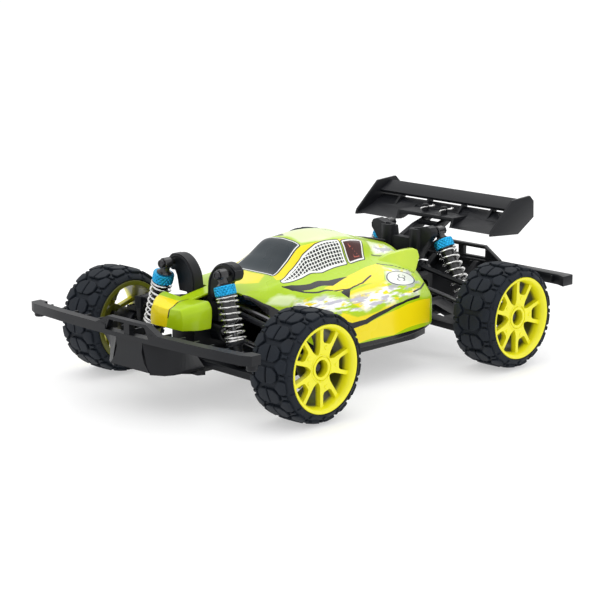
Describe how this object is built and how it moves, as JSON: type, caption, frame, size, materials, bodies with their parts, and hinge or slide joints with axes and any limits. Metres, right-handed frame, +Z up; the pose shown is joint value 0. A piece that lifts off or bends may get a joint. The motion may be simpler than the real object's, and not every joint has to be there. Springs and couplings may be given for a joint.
{
  "type": "rc buggy",
  "caption": "Four-wheel-drive radio controlled buggy with sprung arms, steered front wheels, painted shell, bumpers and a rear wing.",
  "frame": {"origin": "middle of the footprint on the ground plane, under the middle of the overall length and width", "axes": "+Z up, the nose points to -Y, the left side of the buggy is +X"},
  "size_m": [0.2, 0.302, 0.099],
  "materials": {
    "black_plastic": "satin black moulded nylon",
    "lime_paint": "glossy lime green painted shell with printed graphics",
    "yellow_rim": "glossy bright yellow moulded plastic",
    "tyre_rubber": "matt blue-black rubber",
    "spring_steel": "bright spring steel",
    "dark_steel": "dark machined steel",
    "blue_anodised": "blue anodised aluminium, knurled",
    "battery_wrap": "shrink wrap"
  },
  "bodies": {
    "chassis": {"chassis_tub": "black_plastic", "body_shell": "lime_paint", "front_bumper": "black_plastic", "rear_bumper": "black_plastic", "front_gearbox": "black_plastic", "rear_gearbox": "black_plastic", "front_shock_tower": "black_plastic", "rear_shock_tower": "black_plastic", "wing_mount": "black_plastic", "rear_wing": "black_plastic", "drive_motor": "dark_steel", "battery_pack": "battery_wrap", "receiver_box": "black_plastic", "steering_servo": "black_plastic"},
    "rack": {"steering_rack": "dark_steel"},
    "prop_shaft": {"centre_shaft": "dark_steel"},
    "front_left_arm": {"lower_arm_front_left": "black_plastic"},
    "front_left_link": {"upper_link_front_left": "black_plastic"},
    "front_left_carrier": {"caster_block_left": "black_plastic"},
    "front_left_knuckle": {"steering_knuckle_left": "black_plastic"},
    "front_left_tie": {"tie_rod_left": "dark_steel"},
    "front_left_wheel": {"tyre_front_left": "tyre_rubber", "rim_front_left": "yellow_rim", "wheel_axle_front_left": "dark_steel"},
    "front_left_bone": {"dogbone_front_left": "dark_steel"},
    "front_left_damper": {"shock_body_front_left": "blue_anodised", "spring_front_left": "spring_steel"},
    "front_left_rod": {"shock_rod_front_left": "dark_steel"},
    "front_right_arm": {"lower_arm_front_right": "black_plastic"},
    "front_right_link": {"upper_link_front_right": "black_plastic"},
    "front_right_carrier": {"caster_block_right": "black_plastic"},
    "front_right_knuckle": {"steering_knuckle_right": "black_plastic"},
    "front_right_tie": {"tie_rod_right": "dark_steel"},
    "front_right_wheel": {"tyre_front_right": "tyre_rubber", "rim_front_right": "yellow_rim", "wheel_axle_front_right": "dark_steel"},
    "front_right_bone": {"dogbone_front_right": "dark_steel"},
    "front_right_damper": {"shock_body_front_right": "blue_anodised", "spring_front_right": "spring_steel"},
    "front_right_rod": {"shock_rod_front_right": "dark_steel"},
    "rear_left_arm": {"lower_arm_rear_left": "black_plastic"},
    "rear_left_link": {"upper_link_rear_left": "black_plastic"},
    "rear_left_carrier": {"hub_carrier_left": "black_plastic"},
    "rear_left_wheel": {"tyre_rear_left": "tyre_rubber", "rim_rear_left": "yellow_rim", "wheel_axle_rear_left": "dark_steel"},
    "rear_left_bone": {"dogbone_rear_left": "dark_steel"},
    "rear_left_damper": {"shock_body_rear_left": "blue_anodised", "spring_rear_left": "spring_steel"},
    "rear_left_rod": {"shock_rod_rear_left": "dark_steel"},
    "rear_right_arm": {"lower_arm_rear_right": "black_plastic"},
    "rear_right_link": {"upper_link_rear_right": "black_plastic"},
    "rear_right_carrier": {"hub_carrier_right": "black_plastic"},
    "rear_right_wheel": {"tyre_rear_right": "tyre_rubber", "rim_rear_right": "yellow_rim", "wheel_axle_rear_right": "dark_steel"},
    "rear_right_bone": {"dogbone_rear_right": "dark_steel"},
    "rear_right_damper": {"shock_body_rear_right": "blue_anodised", "spring_rear_right": "spring_steel"},
    "rear_right_rod": {"shock_rod_rear_right": "dark_steel"}
  },
  "joints": [
    {"name": "steering_rack_slide", "type": "slide", "parent": "chassis", "child": "rack", "axis": [1, 0, 0], "range_m": [-0.004, 0.004]},
    {"name": "prop_shaft_spin", "type": "hinge", "parent": "chassis", "child": "prop_shaft", "pos_m": [0, 0, 0.041], "axis": [0, 1, 0], "continuous": true},
    {"name": "front_left_arm_swing", "type": "hinge", "parent": "chassis", "child": "front_left_arm", "pos_m": [0.014, -0.0885, 0.0275], "axis": [0, -1, 0], "range_deg": [-10, 12], "stiffness_Nm_per_rad": 1, "springref_deg": -6.88},
    {"name": "front_left_link_swing", "type": "hinge", "parent": "chassis", "child": "front_left_link", "pos_m": [0.014, -0.0885, 0.0565], "axis": [0, -1, 0], "range_deg": [-10.5, 12.5]},
    {"name": "front_left_carrier_swing", "type": "hinge", "parent": "front_left_arm", "child": "front_left_carrier", "pos_m": [0.056, -0.0885, 0.02], "axis": [0, -1, 0], "range_deg": [-12.5, 10.5]},
    {"name": "front_left_steer", "type": "hinge", "parent": "front_left_carrier", "child": "front_left_knuckle", "pos_m": [0.064, -0.0885, 0.033], "axis": [0, 0, 1], "range_deg": [-25.8, 25.8]},
    {"name": "front_left_tie_slide", "type": "slide", "parent": "front_left_link", "child": "front_left_tie", "axis": [1, 0, 0], "range_m": [-0.0042, 0.0042]},
    {"name": "front_left_wheel_spin", "type": "hinge", "parent": "front_left_knuckle", "child": "front_left_wheel", "pos_m": [0.084, -0.0885, 0.033], "axis": [1, 0, 0], "continuous": true},
    {"name": "front_left_bone_spin", "type": "hinge", "parent": "front_left_arm", "child": "front_left_bone", "pos_m": [0.0145, -0.0885, 0.041], "axis": [0.9872, 0, -0.1595], "continuous": true},
    {"name": "front_left_damper_swing", "type": "hinge", "parent": "chassis", "child": "front_left_damper", "pos_m": [0.0243, -0.098, 0.0779], "axis": [0, -1, 0], "range_deg": [-8, 8]},
    {"name": "front_left_rod_slide", "type": "slide", "parent": "front_left_damper", "child": "front_left_rod", "axis": [-0.3057, 0, 0.9521], "range_m": [-0.00471, 0.0056], "deforming": ["spring_front_left"]},
    {"name": "front_right_arm_swing", "type": "hinge", "parent": "chassis", "child": "front_right_arm", "pos_m": [-0.014, -0.0885, 0.0275], "axis": [0, 1, 0], "range_deg": [-10, 12], "stiffness_Nm_per_rad": 1, "springref_deg": -6.88},
    {"name": "front_right_link_swing", "type": "hinge", "parent": "chassis", "child": "front_right_link", "pos_m": [-0.014, -0.0885, 0.0565], "axis": [0, 1, 0], "range_deg": [-10.5, 12.5]},
    {"name": "front_right_carrier_swing", "type": "hinge", "parent": "front_right_arm", "child": "front_right_carrier", "pos_m": [-0.056, -0.0885, 0.02], "axis": [0, 1, 0], "range_deg": [-12.5, 10.5]},
    {"name": "front_right_steer", "type": "hinge", "parent": "front_right_carrier", "child": "front_right_knuckle", "pos_m": [-0.064, -0.0885, 0.033], "axis": [0, 0, 1], "range_deg": [-25.8, 25.8]},
    {"name": "front_right_tie_slide", "type": "slide", "parent": "front_right_link", "child": "front_right_tie", "axis": [1, 0, 0], "range_m": [-0.0042, 0.0042]},
    {"name": "front_right_wheel_spin", "type": "hinge", "parent": "front_right_knuckle", "child": "front_right_wheel", "pos_m": [-0.084, -0.0885, 0.033], "axis": [1, 0, 0], "continuous": true},
    {"name": "front_right_bone_spin", "type": "hinge", "parent": "front_right_arm", "child": "front_right_bone", "pos_m": [-0.0145, -0.0885, 0.041], "axis": [0.9872, 0, 0.1595], "continuous": true},
    {"name": "front_right_damper_swing", "type": "hinge", "parent": "chassis", "child": "front_right_damper", "pos_m": [-0.0243, -0.098, 0.0779], "axis": [0, 1, 0], "range_deg": [-8, 8]},
    {"name": "front_right_rod_slide", "type": "slide", "parent": "front_right_damper", "child": "front_right_rod", "axis": [0.3057, 0, 0.9521], "range_m": [-0.00471, 0.0056], "deforming": ["spring_front_right"]},
    {"name": "rear_left_arm_swing", "type": "hinge", "parent": "chassis", "child": "rear_left_arm", "pos_m": [0.014, 0.0885, 0.0275], "axis": [0, -1, 0], "range_deg": [-10, 12], "stiffness_Nm_per_rad": 1, "springref_deg": -6.88},
    {"name": "rear_left_link_swing", "type": "hinge", "parent": "chassis", "child": "rear_left_link", "pos_m": [0.014, 0.0885, 0.0545], "axis": [0, -1, 0], "range_deg": [-10.5, 12.5]},
    {"name": "rear_left_carrier_swing", "type": "hinge", "parent": "rear_left_arm", "child": "rear_left_carrier", "pos_m": [0.056, 0.0885, 0.02], "axis": [0, -1, 0], "range_deg": [-12.5, 10.5]},
    {"name": "rear_left_wheel_spin", "type": "hinge", "parent": "rear_left_carrier", "child": "rear_left_wheel", "pos_m": [0.084, 0.0885, 0.033], "axis": [1, 0, 0], "continuous": true},
    {"name": "rear_left_bone_spin", "type": "hinge", "parent": "rear_left_arm", "child": "rear_left_bone", "pos_m": [0.0145, 0.0885, 0.041], "axis": [0.9872, 0, -0.1595], "continuous": true},
    {"name": "rear_left_damper_swing", "type": "hinge", "parent": "chassis", "child": "rear_left_damper", "pos_m": [0.022, 0.098, 0.077], "axis": [0, -1, 0], "range_deg": [-8, 8]},
    {"name": "rear_left_rod_slide", "type": "slide", "parent": "rear_left_damper", "child": "rear_left_rod", "axis": [-0.5208, 0, 0.8537], "range_m": [-0.00604, 0.00719], "deforming": ["spring_rear_left"]},
    {"name": "rear_right_arm_swing", "type": "hinge", "parent": "chassis", "child": "rear_right_arm", "pos_m": [-0.014, 0.0885, 0.0275], "axis": [0, 1, 0], "range_deg": [-10, 12], "stiffness_Nm_per_rad": 1, "springref_deg": -6.88},
    {"name": "rear_right_link_swing", "type": "hinge", "parent": "chassis", "child": "rear_right_link", "pos_m": [-0.014, 0.0885, 0.0545], "axis": [0, 1, 0], "range_deg": [-10.5, 12.5]},
    {"name": "rear_right_carrier_swing", "type": "hinge", "parent": "rear_right_arm", "child": "rear_right_carrier", "pos_m": [-0.056, 0.0885, 0.02], "axis": [0, 1, 0], "range_deg": [-12.5, 10.5]},
    {"name": "rear_right_wheel_spin", "type": "hinge", "parent": "rear_right_carrier", "child": "rear_right_wheel", "pos_m": [-0.084, 0.0885, 0.033], "axis": [1, 0, 0], "continuous": true},
    {"name": "rear_right_bone_spin", "type": "hinge", "parent": "rear_right_arm", "child": "rear_right_bone", "pos_m": [-0.0145, 0.0885, 0.041], "axis": [0.9872, 0, 0.1595], "continuous": true},
    {"name": "rear_right_damper_swing", "type": "hinge", "parent": "chassis", "child": "rear_right_damper", "pos_m": [-0.022, 0.098, 0.077], "axis": [0, 1, 0], "range_deg": [-8, 8]},
    {"name": "rear_right_rod_slide", "type": "slide", "parent": "rear_right_damper", "child": "rear_right_rod", "axis": [0.5208, 0, 0.8537], "range_m": [-0.00604, 0.00719], "deforming": ["spring_rear_right"]}
  ],
  "couplings": [
    {"joint": "front_left_link_swing", "follows": "front_left_arm_swing", "ratio": 1},
    {"joint": "front_left_carrier_swing", "follows": "front_left_arm_swing", "ratio": -1},
    {"joint": "front_left_steer", "follows": "steering_rack_slide", "rad_per_m": -111.11},
    {"joint": "front_left_tie_slide", "follows": "steering_rack_slide", "ratio": 1},
    {"joint": "front_left_bone_spin", "follows": "front_left_wheel_spin", "ratio": 1},
    {"joint": "front_left_damper_swing", "follows": "front_left_arm_swing", "ratio": 0.1149},
    {"joint": "front_left_rod_slide", "follows": "front_left_arm_swing", "m_per_rad": 0.02529},
    {"joint": "front_right_link_swing", "follows": "front_right_arm_swing", "ratio": 1},
    {"joint": "front_right_carrier_swing", "follows": "front_right_arm_swing", "ratio": -1},
    {"joint": "front_right_steer", "follows": "steering_rack_slide", "rad_per_m": -111.11},
    {"joint": "front_right_tie_slide", "follows": "steering_rack_slide", "ratio": 1},
    {"joint": "front_right_bone_spin", "follows": "front_right_wheel_spin", "ratio": 1},
    {"joint": "front_right_damper_swing", "follows": "front_right_arm_swing", "ratio": 0.1149},
    {"joint": "front_right_rod_slide", "follows": "front_right_arm_swing", "m_per_rad": 0.02529},
    {"joint": "rear_left_link_swing", "follows": "rear_left_arm_swing", "ratio": 1},
    {"joint": "rear_left_carrier_swing", "follows": "rear_left_arm_swing", "ratio": -1},
    {"joint": "rear_left_bone_spin", "follows": "rear_left_wheel_spin", "ratio": 1},
    {"joint": "rear_left_damper_swing", "follows": "rear_left_arm_swing", "ratio": 0.3438},
    {"joint": "rear_left_rod_slide", "follows": "rear_left_arm_swing", "m_per_rad": 0.03291},
    {"joint": "rear_right_link_swing", "follows": "rear_right_arm_swing", "ratio": 1},
    {"joint": "rear_right_carrier_swing", "follows": "rear_right_arm_swing", "ratio": -1},
    {"joint": "rear_right_bone_spin", "follows": "rear_right_wheel_spin", "ratio": 1},
    {"joint": "rear_right_damper_swing", "follows": "rear_right_arm_swing", "ratio": 0.3438},
    {"joint": "rear_right_rod_slide", "follows": "rear_right_arm_swing", "m_per_rad": 0.03291}
  ]
}
